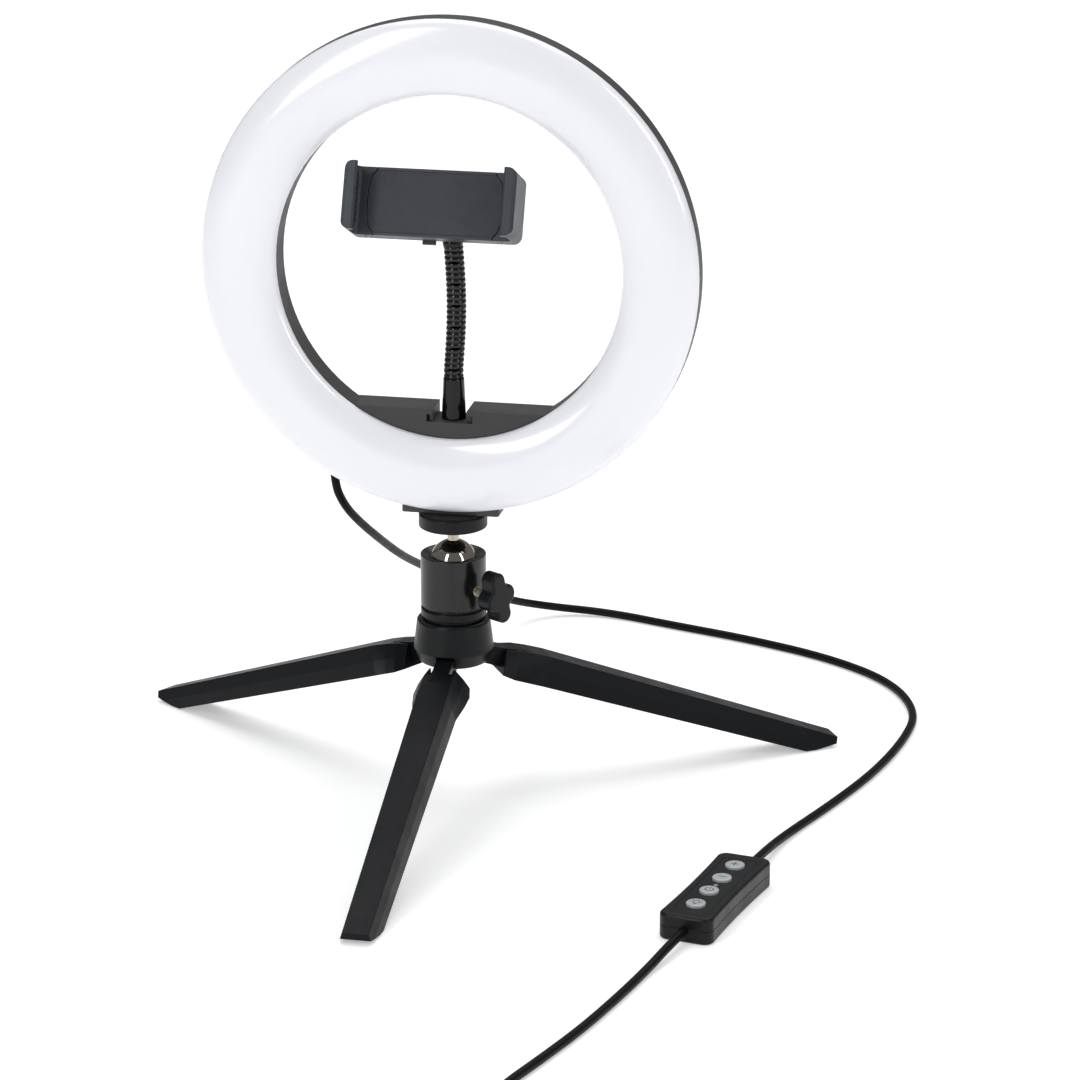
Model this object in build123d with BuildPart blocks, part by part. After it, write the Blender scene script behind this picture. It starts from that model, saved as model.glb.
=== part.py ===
"""Desktop ring light on a folding mini tripod, with a phone clip and an in-line remote.

Millimetres, +Z up. The origin is on the floor under the tripod's vertical axis and the lit
side of the ring faces -Y.
"""
import os
from math import cos, hypot, pi, radians, sin, tan

from build123d import *

os.makedirs("parts", exist_ok=True)


def save(piece, label):
    piece.part.label = label
    export_step(piece.part, f"parts/{label}.step")


# ---------------------------------------------------------------- driving dimensions
# tripod hub and legs
hub_bottom, hub_crease, hub_top = 56.8, 62.3, 74.8
hub_bottom_radius, hub_crease_radius, hub_top_radius = 13.9, 16.2, 14.7
leg_azimuths = {"front": -91.0, "right": 30.0, "left": 150.0}
pin_reach, pin_height, pin_radius, pin_length = 12.2, 58.3, 1.2, 10.4
leg_slope = 20.85
tongue_width, tongue_radius = 7.0, 3.6
running_gap = 0.05
foot_lift, foot_reach = 0.5, 154.5

# ball head
groove_radius = 12.3
flange_low, flange_high = 76.0, 79.4
cup_bottom, cup_top, cup_radius = 80.4, 101.8, 13.2
cup_bore_radius = 10.0
ball_radius = 9.5
ball_center = (0, 0, 98.2)
lip_height = 100.0
knob_height, knob_azimuth = 88.5, 58.0
screw_radius, screw_start, screw_length = 2.15, 10.05, 14.0

# light ring
ring_height = 221.0
ring_outer, ring_inner = 100.0, 69.6
ring_front, ring_back = -6.0, 9.0
wall = 1.8
shelf_top = -58.0
notch_half, notch_floor = 7.0, -63.0
cover_thickness = 2.0
disc_bottom, disc_top, disc_radius = 113.4, 119.0, 13.8
foot_bottom, foot_width = 119.8, 39.6
stud_radius = 3.175
cord_exit = (-52.0, 13.0, 136.0)
boss_bottom, boss_height = 158.0, 7.0

# gooseneck
neck_radius, rib_valley = 3.75, 3.05
link_count, link_pitch, link_gap = 6, 8.8, 0.8
first_joint_height = 178.6
socket_depth = 1.9
knuckle_radius = 2.3
neck_y = 1.5

# phone clip
clip_ball_center = Vector(0.2, neck_y, 243.0)
clip_ball_radius = 4.2
clip_lean = 24.0
clip_width, clip_height, clip_depth = 68.5, 27.0, 8.0
clip_shift = -4.55
face_to_ball = 13.0
jaw_base = 6.8

# remote
remote_center, remote_turn = (124.9, -107.6), -11.8
remote_length, remote_width, remote_waist, remote_thickness = 67.7, 22.2, 20.4, 10.8
button_radius, indicator_place = 3.8, 0.0
button_places = {"plus": 20.8, "minus": 6.8, "power": -7.0, "mode": -21.0}

# cord
cord_radius = 1.75
coil_center, coil_mean_radius = (46.5, -337.0), 19.0
coil_section, coil_lift = (14.8, 7.2), 0.6


# ---------------------------------------------------------------- tripod
def radial_plane(azimuth, height=0.0):
    """Plane through the vertical axis: local x outward, local y up."""
    a = radians(azimuth)
    return Plane(origin=(0, 0, height), x_dir=(cos(a), sin(a), 0), z_dir=(sin(a), -cos(a), 0))


def pin_point(azimuth):
    a = radians(azimuth)
    return (pin_reach * cos(a), pin_reach * sin(a), pin_height)


with BuildPart() as hub:
    with BuildSketch(Plane.XZ):
        with BuildLine():
            Polyline(
                (0, hub_bottom),
                (hub_bottom_radius, hub_bottom),
                (hub_crease_radius, hub_crease),
                (hub_top_radius, hub_top),
                (0, hub_top),
                close=True,
            )
        make_face()
    revolve(axis=Axis.Z)
    fillet(hub.edges().filter_by(GeomType.CIRCLE).group_by(Axis.Z)[-1], 1.3)
    fillet(hub.edges().filter_by(GeomType.CIRCLE).group_by(Axis.Z)[0], 0.8)
    slot_inner, slot_outer, slot_width = 8.5, 20.0, tongue_width + 0.4
    slot_roof = pin_height + tongue_radius + 0.4
    for azimuth in leg_azimuths.values():
        with BuildSketch(radial_plane(azimuth)):
            with Locations(((slot_inner + slot_outer) / 2, (slot_roof + 50) / 2)):
                Rectangle(slot_outer - slot_inner, slot_roof - 50)
        extrude(amount=slot_width / 2, both=True, mode=Mode.SUBTRACT)
    for azimuth in leg_azimuths.values():
        with BuildSketch(radial_plane(azimuth)):
            with Locations((pin_reach, pin_height)):
                Circle(pin_radius)
        extrude(amount=pin_length / 2, both=True, mode=Mode.SUBTRACT)
    with BuildSketch(Plane.XY.offset(64.0)):
        Circle(2.6)
    extrude(amount=hub_top, mode=Mode.SUBTRACT)
save(hub, "hub")

with BuildPart() as leg_pins:
    for azimuth in leg_azimuths.values():
        with BuildSketch(radial_plane(azimuth)):
            with Locations((pin_reach, pin_height)):
                Circle(pin_radius)
        extrude(amount=pin_length / 2, both=True)
save(leg_pins, "leg_pins")


# Each section of a leg: distance from the pin, half width at the underside and at the top
# face, height of the underside and of the top face across the leg's own line.
shoulder_sections = [
    (7.6, 10.6, 5.2, -5.2, 4.0),
    (13.0, 11.6, 6.0, -5.6, 5.2),
    (19.0, 10.8, 6.0, -5.6, 5.9),
    (27.0, 8.9, 6.2, -5.8, 6.3),
]
beam_end = (171.0, 7.3, 5.1, -4.2, 4.5)


def beam_section(along):
    """Section of the straight part of a leg, between its last shoulder section and its end."""
    first = shoulder_sections[-1]
    share = (along - first[0]) / (beam_end[0] - first[0])
    return tuple(a + share * (b - a) for a, b in zip(first, beam_end))


def leg_plane(azimuth, along):
    """Plane across a leg: local x along the pin, local y up across the leg."""
    a, s = radians(azimuth), radians(leg_slope)
    line = Vector(cos(a) * cos(s), sin(a) * cos(s), -sin(s))
    origin = Vector(*pin_point(azimuth)) + line * along
    return Plane(origin=origin, x_dir=(-sin(a), cos(a), 0), z_dir=line)


def leg_outline(low_half, top_half, low, high, bulge=0.35):
    """Closed outline across a leg, with its sides bowed a little."""
    middle = (low_half + top_half) / 2 + bulge
    half = (low + high) / 2
    with BuildLine() as outline:
        Polyline(
            (-low_half, low), (low_half, low), (middle, half), (top_half, high),
            (-top_half, high), (-middle, half), close=True,
        )
    return outline.line


rib_places = [22.0, 48.0, 75.0, 102.0, 128.0]
rib_thickness, leg_wall = 1.4, 1.5

for name, azimuth in leg_azimuths.items():
    side = radial_plane(azimuth)
    with BuildPart() as leg:
        for along, low_half, top_half, low, high in shoulder_sections + [beam_end]:
            with BuildSketch(leg_plane(azimuth, along)):
                add(leg_outline(low_half, top_half, low, high))
                make_face()
        loft(ruled=True)
        # underside, hollow between cross ribs
        for start, end in zip(rib_places[:-1], rib_places[1:]):
            for along in (start + rib_thickness, end):
                _, low_half, top_half, low, high = beam_section(max(along, shoulder_sections[-1][0]))
                with BuildSketch(leg_plane(azimuth, along)):
                    add(leg_outline(low_half - leg_wall, top_half - leg_wall, -8.0, high - leg_wall, 0))
                    make_face()
            loft(ruled=True, mode=Mode.SUBTRACT)
        # tongue that enters the hub
        with BuildSketch(Plane(leg_plane(azimuth, 0).origin, x_dir=leg_plane(azimuth, 0).z_dir,
                               z_dir=-leg_plane(azimuth, 0).x_dir)):
            with BuildLine():
                Polyline((0, -tongue_radius), (14, -tongue_radius), (17, 5.9), (9, 4.6), (0, tongue_radius))
                ThreePointArc((0, tongue_radius), (-tongue_radius, 0), (0, -tongue_radius))
            make_face()
        extrude(amount=tongue_width / 2, both=True)
        # grooves beside the tongue, across the shoulder
        for edge in (-1, 1):
            with BuildSketch(leg_plane(azimuth, 7.0)):
                with Locations((edge * (tongue_width / 2 + 0.6), 5.0)):
                    Rectangle(1.2, 7.0)
            extrude(amount=5.5, mode=Mode.SUBTRACT)
        with BuildSketch(side):
            with Locations((pin_reach, pin_height)):
                Circle(pin_radius + running_gap)
        extrude(amount=tongue_width, both=True, mode=Mode.SUBTRACT)
        # flat foot and undercut tip
        with BuildSketch(side):
            with BuildLine():
                Polyline((120, foot_lift), (156.5, foot_lift), (165.9, 1.8), (166.8, 5.0), (200, 5.0),
                         (200, -40), (120, -40), close=True)
            make_face()
        extrude(amount=20, both=True, mode=Mode.SUBTRACT)
        with BuildSketch(Plane.XY):
            with Locations((foot_reach * cos(radians(azimuth)), foot_reach * sin(radians(azimuth)))):
                SlotOverall(7.0, 4.6, rotation=azimuth)
        extrude(amount=1.4, mode=Mode.SUBTRACT)
    save(leg, f"leg_{name}")

    with BuildPart() as foot_pad:
        with BuildSketch(Plane.XY):
            with Locations((foot_reach * cos(radians(azimuth)), foot_reach * sin(radians(azimuth)))):
                SlotOverall(6.9, 4.5, rotation=azimuth)
        extrude(amount=1.35)
    save(foot_pad, f"foot_pad_{name}")


# ---------------------------------------------------------------- ball head
with BuildPart() as base_flange:
    with BuildSketch(Plane.XZ):
        with BuildLine():
            Polyline(
                (2.6, hub_top), (groove_radius, hub_top), (groove_radius, flange_low),
                (cup_radius, flange_low), (cup_radius, flange_high), (groove_radius, flange_high),
                (groove_radius, cup_bottom),
                (9.9, cup_bottom), (9.9, 84.0), (5.2, 84.0), (5.2, 81.4), (2.6, 81.4), close=True,
            )
        make_face()
    revolve(axis=Axis.Z)
    rim = base_flange.edges().filter_by(GeomType.CIRCLE).filter_by(lambda e: e.radius > cup_radius - 0.1)
    fillet(rim, 0.5)
save(base_flange, "base_flange")

with BuildPart() as center_bolt:
    with BuildSketch(Plane.XY.offset(65.0)):
        Circle(2.5)
    extrude(amount=81.4 - 65.0)
    with BuildSketch(Plane.XY.offset(81.4)):
        Circle(4.9)
        RegularPolygon(2.2, 6, mode=Mode.SUBTRACT)
    extrude(amount=2.2)
    with BuildSketch(Plane.XY.offset(81.4)):
        RegularPolygon(2.4, 6)
    extrude(amount=0.6)
save(center_bolt, "center_bolt")


def knob_plane(distance):
    """Plane across the clamp screw: local y up, local z outward."""
    a = radians(knob_azimuth)
    out = Vector(sin(a), -cos(a), 0)
    return Plane(origin=Vector(0, 0, knob_height) + out * distance, x_dir=(cos(a), sin(a), 0), z_dir=out)


notch_azimuth = 100.0

with BuildPart() as cup:
    with BuildSketch(Plane.XY.offset(cup_bottom)):
        Circle(cup_radius)
    extrude(amount=cup_top - cup_bottom)
    fillet(cup.edges().group_by(Axis.Z)[0], 0.5)
    fillet(cup.edges().group_by(Axis.Z)[-1], 0.4)
    with BuildSketch(Plane.XZ):
        with BuildLine():
            Polyline((0, lip_height), (8.8, lip_height), (12.3, cup_top + 0.1),
                     (0, cup_top + 0.1), close=True)
        make_face()
    revolve(axis=Axis.Z, mode=Mode.SUBTRACT)
    with BuildSketch(Plane.XY.offset(cup_bottom)):
        Circle(cup_bore_radius)
    extrude(amount=14.4, mode=Mode.SUBTRACT)
    with Locations(ball_center):
        Sphere(ball_radius + 0.06, mode=Mode.SUBTRACT)
    # drop notch in the rim
    turned = radial_plane(notch_azimuth)
    with BuildSketch(Plane(origin=turned.x_dir * 7.0, x_dir=turned.z_dir, z_dir=turned.x_dir)) as notch:
        with BuildLine():
            Polyline((-7.0, -104), (-4.6, -97), (-3.4, -94), (3.4, -94), (4.6, -97), (7.0, -104), close=True)
        make_face()
        fillet(notch.vertices().filter_by(lambda v: abs(v.Y + 94) < 0.1), 2.6)
    extrude(amount=8.0, mode=Mode.SUBTRACT)
    with BuildSketch(knob_plane(8.0)):
        Circle(screw_radius + 0.06)
    extrude(amount=8.0, mode=Mode.SUBTRACT)
save(cup, "cup")

with BuildPart() as ball_seat:
    with BuildSketch(Plane.XY.offset(84.1)):
        Circle(cup_bore_radius - 0.1)
    extrude(amount=7.0)
    with Locations(ball_center):
        Sphere(ball_radius + 0.06, mode=Mode.SUBTRACT)
save(ball_seat, "ball_seat")

with BuildPart() as clamp_screw:
    with BuildSketch(knob_plane(screw_start)):
        Circle(screw_radius)
    extrude(amount=screw_length)
    chamfer(clamp_screw.edges().filter_by(GeomType.CIRCLE), 0.4)
save(clamp_screw, "clamp_screw")

knob_start, knob_depth, wing_turn = 20.8, 6.4, 104.0
long_lobes, short_lobes = (22.0, 7.4), (15.4, 8.4)
with BuildPart() as wing_knob:
    with BuildSketch(knob_plane(knob_start)) as wings:
        SlotOverall(*long_lobes, rotation=wing_turn)
        SlotOverall(*short_lobes, rotation=wing_turn - 90)
        fillet(wings.vertices().filter_by(lambda v: hypot(v.X, v.Y) < 6.5), 1.4)
    extrude(amount=knob_depth)
    faces = wing_knob.faces().sort_by(Axis(knob_plane(0).origin, knob_plane(0).z_dir))
    fillet(faces[-1].edges(), 1.1)
    with BuildSketch(knob_plane(screw_start)):
        Circle(screw_radius + 0.02)
    extrude(amount=screw_length + 0.05, mode=Mode.SUBTRACT)
save(wing_knob, "wing_knob")

with BuildPart() as ball:
    with Locations(ball_center):
        Sphere(ball_radius)
save(ball, "ball")

with BuildPart() as ball_stud:
    with BuildSketch(Plane.XY.offset(104.0)):
        Circle(2.3)
    extrude(amount=disc_bottom - 0.2 - 104.0)
    with BuildSketch(Plane.XY.offset(disc_bottom - 0.2)):
        Circle(stud_radius)
    extrude(amount=14.4)
    chamfer(ball_stud.edges().filter_by(GeomType.CIRCLE).group_by(Axis.Z)[-1], 0.5)
    with Locations(ball_center):
        Sphere(ball_radius + running_gap, mode=Mode.SUBTRACT)
save(ball_stud, "ball_stud")


# ---------------------------------------------------------------- light ring
ring_section = Plane.XY.offset(ring_height)
ring_axis = Axis((0, 0, ring_height), (0, 1, 0))


def face_at(depth):
    """Plane parallel to the ring's face: local x right, y up, z toward the lit side."""
    return Plane(origin=(0, depth, ring_height), x_dir=(1, 0, 0), z_dir=(0, -1, 0))


def channel_outline(low, high, front, back, inner_corner, outer_corner):
    """Radius against depth, with the two rear corners rounded."""
    with BuildSketch() as outline:
        with Locations(((low + high) / 2, (front + back) / 2)):
            Rectangle(high - low, back - front)
        fillet(outline.vertices().group_by(Axis.Y)[-1].sort_by(Axis.X)[0], inner_corner)
        fillet(outline.vertices().group_by(Axis.Y)[-1].sort_by(Axis.X)[-1], outer_corner)
    return outline.sketch


def shelf_segment(radius, top):
    """The part of a circle below a level line."""
    with BuildSketch() as segment:
        Circle(radius)
        with Locations((0, top - radius)):
            Rectangle(2 * radius, 2 * radius, mode=Mode.INTERSECT)
    return segment.sketch


board_radii, led_radius, led_count = (75.5, 90.5), 83.0, 60
screw_circle, screw_count = 83.0, 6
block_middle = (ring_front + ring_back) / 2

with BuildPart() as rear_housing:
    with BuildSketch(ring_section):
        add(channel_outline(ring_inner, ring_outer, ring_front, ring_back, 3.5, 8.0))
    revolve(axis=ring_axis)
    # shelf across the foot of the opening
    with BuildSketch(face_at(ring_back)):
        add(shelf_segment(ring_inner + wall / 2, shelf_top))
    extrude(amount=ring_back - ring_front - cover_thickness)
    # foot block
    with BuildSketch(Plane.XY.offset(foot_bottom)):
        with Locations((0, block_middle)):
            RectangleRounded(foot_width, ring_back - ring_front, 1.5)
    extrude(amount=4.0)
    # room inside the channel
    with BuildSketch(ring_section):
        add(channel_outline(ring_inner + wall, ring_outer - wall, ring_front - 1, ring_back - wall, 2.0, 6.2))
    revolve(axis=ring_axis, mode=Mode.SUBTRACT)
    # room inside the shelf
    with BuildSketch(face_at(ring_back - 2.0)):
        add(shelf_segment(ring_inner, shelf_top - 2.0))
        with Locations((0, notch_floor + 5.0)):
            Rectangle(2 * notch_half + 3.6, 13.6, mode=Mode.SUBTRACT)
    extrude(amount=ring_back - ring_front, mode=Mode.SUBTRACT)
    with BuildSketch(face_at(ring_back + 1)):
        with Locations((0, notch_floor + 5.0)):
            Rectangle(2 * notch_half, 10.0)
    extrude(amount=ring_back - ring_front + 2, mode=Mode.SUBTRACT)
    # boss for the threaded insert
    with BuildSketch(Plane.XY.offset(foot_bottom + 1.0)):
        Circle(5.3)
    extrude(amount=9.0)
    # posts for the lamp board
    with BuildSketch(face_at(ring_back - 1.0)):
        with PolarLocations(screw_circle, screw_count, start_angle=30):
            Circle(2.6)
    extrude(amount=4.4)
    with BuildSketch(face_at(ring_back + 1.0)):
        with PolarLocations(screw_circle, screw_count, start_angle=30):
            Circle(1.05)
    extrude(amount=8.0, mode=Mode.SUBTRACT)
    with BuildSketch(face_at(ring_back)):
        with PolarLocations(screw_circle, screw_count, start_angle=30):
            Circle(2.1)
    extrude(amount=1.0, mode=Mode.SUBTRACT)
    # cooling slots between the posts
    with BuildSketch(face_at(ring_back + 1.0)):
        for turn in (-9, 0, 9):
            with PolarLocations(led_radius, screw_count, start_angle=turn):
                SlotOverall(12.0, 2.0)
    extrude(amount=4.0, mode=Mode.SUBTRACT)
    # bore of the insert
    with BuildSketch(Plane.XY.offset(foot_bottom)):
        Circle(4.2)
    extrude(amount=9.0, mode=Mode.SUBTRACT)
    # boss that the cord comes out of
    with BuildSketch(Plane.XY.offset(boss_bottom)):
        with Locations((cord_exit[0], ring_back + 3.4)):
            RectangleRounded(10.0, 7.8, 2.5)
    extrude(amount=boss_height)
    with BuildSketch(Plane.XY.offset(boss_bottom)):
        with Locations(cord_exit[:2]):
            Circle(2.45)
    extrude(amount=boss_height - 1.0, mode=Mode.SUBTRACT)
    lead_hole = Vector(cord_exit[0], cord_exit[1], boss_bottom + 4.0)
    with BuildSketch(Plane(origin=lead_hole, x_dir=(1, 0, 0), z_dir=(0, -1, 0))):
        Circle(1.4)
    extrude(amount=8.0, mode=Mode.SUBTRACT)
save(rear_housing, "rear_housing")

dome_radii = (15.15, 6.0)
lens_thickness = 1.5
dome_middle = (ring_inner + ring_outer) / 2
ring_wall_low = wall + 1.0 - ring_outer
with BuildPart() as diffuser:
    with BuildSketch(ring_section):
        with Locations((dome_middle, ring_front)):
            Ellipse(*dome_radii)
            Ellipse(dome_radii[0] - lens_thickness, dome_radii[1] - lens_thickness, mode=Mode.SUBTRACT)
        with Locations((dome_middle, ring_front + 10)):
            Rectangle(40, 20, mode=Mode.SUBTRACT)
        for place in (ring_inner + wall + 1.0, ring_outer - wall - 1.0):
            with Locations((place, ring_front - 0.4)):
                Rectangle(1.4, 4.2)
    revolve(axis=ring_axis)
    # gap in the outer skirt for the boss of the threaded insert
    with BuildSketch(face_at(ring_front)):
        with Locations((0, ring_wall_low)):
            Rectangle(14.0, 5.0)
    extrude(amount=-3.0, mode=Mode.SUBTRACT)
save(diffuser, "diffuser")

with BuildPart() as led_board:
    with BuildSketch(face_at(3.6)):
        Circle(board_radii[1])
        Circle(board_radii[0], mode=Mode.SUBTRACT)
        with PolarLocations(screw_circle, screw_count, start_angle=30):
            Circle(1.05, mode=Mode.SUBTRACT)
    extrude(amount=1.6)
save(led_board, "led_board")

with BuildPart() as leds:
    with BuildSketch(face_at(2.0)):
        with PolarLocations(led_radius, led_count, start_angle=3):
            Rectangle(3.5, 2.8)
    extrude(amount=0.8)
save(leds, "leds")

with BuildPart() as housing_screws:
    with BuildSketch(face_at(ring_back - 1.0)):
        with PolarLocations(screw_circle, screw_count, start_angle=30):
            Circle(1.0)
    extrude(amount=6.4)
    with BuildSketch(face_at(ring_back - 0.1)):
        with PolarLocations(screw_circle, screw_count, start_angle=30):
            Circle(1.95)
            Rectangle(2.6, 0.6, mode=Mode.SUBTRACT)
            Rectangle(0.6, 2.6, mode=Mode.SUBTRACT)
    extrude(amount=0.5)
    with BuildSketch(face_at(ring_back - 0.6)):
        with PolarLocations(screw_circle, screw_count, start_angle=30):
            Circle(1.95)
    extrude(amount=0.4)
save(housing_screws, "housing_screws")

with BuildPart() as threaded_insert:
    with BuildSketch(Plane.XY.offset(foot_bottom + 0.1)):
        Circle(4.15)
        Circle(stud_radius + running_gap, mode=Mode.SUBTRACT)
    extrude(amount=8.6)
save(threaded_insert, "threaded_insert")

with BuildPart() as shelf_cover:
    with BuildSketch(face_at(ring_front + cover_thickness)):
        add(shelf_segment(ring_inner - 0.15, shelf_top))
        with Locations((0, notch_floor + 5.0)):
            Rectangle(2 * notch_half, 10.0, mode=Mode.SUBTRACT)
        with Locations((0, notch_floor + 1.5)):
            Rectangle(18.6, 3.0, mode=Mode.SUBTRACT)
    extrude(amount=cover_thickness)
save(shelf_cover, "shelf_cover")

with BuildPart() as cord_gland:
    with BuildSketch(Plane(origin=(cord_exit[0], cord_exit[1], 0), x_dir=(1, 0, 0), z_dir=(0, -1, 0))):
        with BuildLine():
            Polyline(
                (0, cord_exit[2]), (2.2, cord_exit[2]), (3.1, boss_bottom - 1.6), (3.9, boss_bottom - 1.6),
                (3.9, boss_bottom - 0.1), (2.4, boss_bottom - 0.1), (2.4, boss_bottom + 4.0),
                (0, boss_bottom + 4.0), close=True,
            )
        make_face()
    revolve(axis=Axis(cord_exit, (0, 0, 1)))
    for step in range(5):
        with BuildSketch(Plane.XY.offset(139.0 + 3.2 * step)):
            with Locations(cord_exit[:2]):
                Circle(4.0)
                Circle(1.95 + 0.14 * step, mode=Mode.SUBTRACT)
        extrude(amount=1.2, mode=Mode.SUBTRACT)
save(cord_gland, "cord_gland")

with BuildPart() as platform_disc:
    with BuildSketch(Plane.XY.offset(disc_bottom)):
        Circle(disc_radius)
        Circle(stud_radius + 0.075, mode=Mode.SUBTRACT)
    extrude(amount=disc_top - disc_bottom)
    rims = platform_disc.edges().filter_by(GeomType.CIRCLE).filter_by(lambda e: e.radius > disc_radius - 0.1)
    fillet(rims, 0.6)
save(platform_disc, "platform_disc")

with BuildPart() as platform_pad:
    with BuildSketch(Plane.XY.offset(disc_top)):
        Circle(disc_radius - 0.8)
        Circle(stud_radius + 0.3, mode=Mode.SUBTRACT)
    extrude(amount=foot_bottom - disc_top)
save(platform_pad, "platform_pad")


# ---------------------------------------------------------------- gooseneck
neck_bow, neck_bottom_x, neck_top_x = 1.2, 0.3, 0.2


def joint_point(index):
    """Centre of the knuckle number index, on a slightly bowed line."""
    share = index / link_count
    x = neck_bottom_x + (neck_top_x - neck_bottom_x) * share + neck_bow * sin(radians(180 * share))
    return Vector(x, neck_y, first_joint_height + link_pitch * index)


def link_plane(index):
    """Plane through a link: local x across it, local y along it."""
    line = (joint_point(index + 1) - joint_point(index)).normalized()
    return Plane(origin=joint_point(index), x_dir=(0, 1, 0), z_dir=(line.Z, 0, -line.X))


def link_axis(index):
    return Axis(joint_point(index), joint_point(index + 1) - joint_point(index))


ferrule_bottom, ferrule_top = ring_height + notch_floor, 175.0
with BuildPart() as ferrule:
    root = joint_point(0)
    with BuildSketch(Plane(origin=(root.X, neck_y, 0), x_dir=(1, 0, 0), z_dir=(0, -1, 0))):
        with BuildLine():
            Polyline(
                (0, ferrule_bottom), (4.9, ferrule_bottom), (4.2, ferrule_top - 0.6), (3.8, ferrule_top),
                (neck_radius - 0.3, ferrule_top), (neck_radius - 0.3, root.Z - socket_depth - link_gap),
                (1.0, root.Z - socket_depth - link_gap), (1.0, root.Z), (0, root.Z), close=True,
            )
        make_face()
    revolve(axis=Axis((root.X, neck_y, 0), (0, 0, 1)))
    with Locations(root):
        Sphere(knuckle_radius)
save(ferrule, "ferrule")

rib_count = 5
for index in range(link_count):
    top = link_pitch - socket_depth - link_gap
    rib = (top + socket_depth) / rib_count
    last = index == link_count - 1
    with BuildPart() as link:
        with BuildSketch(link_plane(index)):
            with BuildLine():
                Line((0, -socket_depth), (rib_valley, -socket_depth))
                for step in range(rib_count):
                    low = -socket_depth + step * rib
                    ThreePointArc((rib_valley, low), (neck_radius, low + rib / 2), (rib_valley, low + rib))
                Polyline((rib_valley, top), (0, top), (0, -socket_depth))
            make_face()
            if not last:
                with Locations((0.5, (top + link_pitch) / 2)):
                    Rectangle(1.0, link_pitch - top)
        revolve(axis=link_axis(index))
        if last:
            collar = joint_point(index + 1)
            with BuildSketch(Plane(origin=(collar.X, neck_y, 0), x_dir=(1, 0, 0), z_dir=(0, -1, 0))):
                with BuildLine():
                    Polyline((0, 228.0), (3.9, 228.9), (4.1, 230.4), (3.0, 232.6), (0, 232.6), close=True)
                make_face()
            revolve(axis=Axis((collar.X, neck_y, 0), (0, 0, 1)))
            with BuildSketch(Plane.XY.offset(229.4)):
                with Locations((collar.X, neck_y)):
                    Circle(1.6)
            extrude(amount=5, mode=Mode.SUBTRACT)
        else:
            with Locations(joint_point(index + 1)):
                Sphere(knuckle_radius)
        # socket around the knuckle below
        with Locations(joint_point(index)):
            Sphere(knuckle_radius + 0.15, mode=Mode.SUBTRACT)
        with BuildSketch(link_plane(index)):
            with BuildLine():
                Polyline((0, 0), (1.55, -1.0), (2.0, -socket_depth - 0.1), (0, -socket_depth - 0.1),
                         close=True)
            make_face()
        revolve(axis=link_axis(index), mode=Mode.SUBTRACT)
    save(link, f"gooseneck_link_{index + 1}")


# ---------------------------------------------------------------- phone clip
lean = radians(clip_lean)
clip_out = Vector(0, -cos(lean), sin(lean))
clip_up = Vector(0, sin(lean), cos(lean))
clip_face = clip_ball_center + clip_out * face_to_ball + Vector(clip_shift, 0, 0)


def clip_plane(depth):
    """Plane parallel to the clip's face: local x right, y up the clip, z out of its face."""
    return Plane(origin=clip_face + clip_out * depth, x_dir=(1, 0, 0), z_dir=clip_out)


def clip_side(offset):
    """Plane across the clip: local x out of its face, local y up the clip."""
    return Plane(origin=clip_face + Vector(offset, 0, 0), x_dir=clip_out, z_dir=(-1, 0, 0))


with BuildPart() as clip_ball:
    x, y = clip_ball_center.X, clip_ball_center.Y
    with BuildSketch(Plane(origin=(x, y, 0), x_dir=(1, 0, 0), z_dir=(0, -1, 0))):
        with BuildLine():
            Polyline(
                (0, 229.6), (1.55, 229.6), (1.55, 232.8), (2.6, 232.8), (2.0, 234.4),
                (2.0, 240.0), (0, 240.0), close=True,
            )
        make_face()
    revolve(axis=Axis((x, y, 0), (0, 0, 1)))
    with Locations(clip_ball_center):
        Sphere(clip_ball_radius)
save(clip_ball, "clip_ball")

tray_half = clip_width / 2 - jaw_base
panel_depth = 0.8
rod_places, rod_depth = (-8.0, 8.0), -4.4
with BuildPart() as clip_tray:
    with BuildSketch(clip_plane(-clip_depth)):
        with Locations((-0.1, 0)):
            RectangleRounded(2 * tray_half - 0.2, clip_height, 0.6)
    extrude(amount=clip_depth - panel_depth)
    # raised rims along the upper and lower edges
    with BuildSketch(clip_plane(-panel_depth)):
        with GridLocations(0, clip_height - 1.2, 1, 2):
            Rectangle(2 * tray_half - 7.4, 1.2)
    extrude(amount=panel_depth)
    for place in rod_places:
        with BuildSketch(clip_side(tray_half + 1)):
            with Locations((rod_depth, place)):
                Circle(1.36)
        extrude(amount=42.0, mode=Mode.SUBTRACT)
    with BuildSketch(clip_side(tray_half + 1)):
        with Locations((rod_depth, 0)):
            Circle(2.7)
    extrude(amount=54.0, mode=Mode.SUBTRACT)
save(clip_tray, "clip_tray")

panel_side = [
    (tray_half - 3.7, 12.2), (tray_half - 1.9, 10.2), (tray_half - 1.0, 7.2), (tray_half - 0.6, 0),
    (tray_half - 1.0, -7.2), (tray_half - 1.9, -10.2), (tray_half - 3.7, -12.2),
]
with BuildPart() as clip_panel:
    with BuildSketch(clip_plane(-panel_depth)):
        with BuildLine():
            Polyline(
                *[(x, y) for x, y in panel_side],
                *[(-x, -y) for x, y in panel_side], close=True,
            )
        make_face()
    extrude(amount=panel_depth)
save(clip_panel, "clip_panel")


ear_outline = [
    (tray_half + 0.2, 13.5), (tray_half - 3.4, 13.5), (tray_half - 3.4, 12.5), (tray_half - 1.6, 10.4),
    (tray_half - 0.7, 7.3), (tray_half - 0.25, 1.0), (tray_half + 0.2, 1.0),
]


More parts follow.
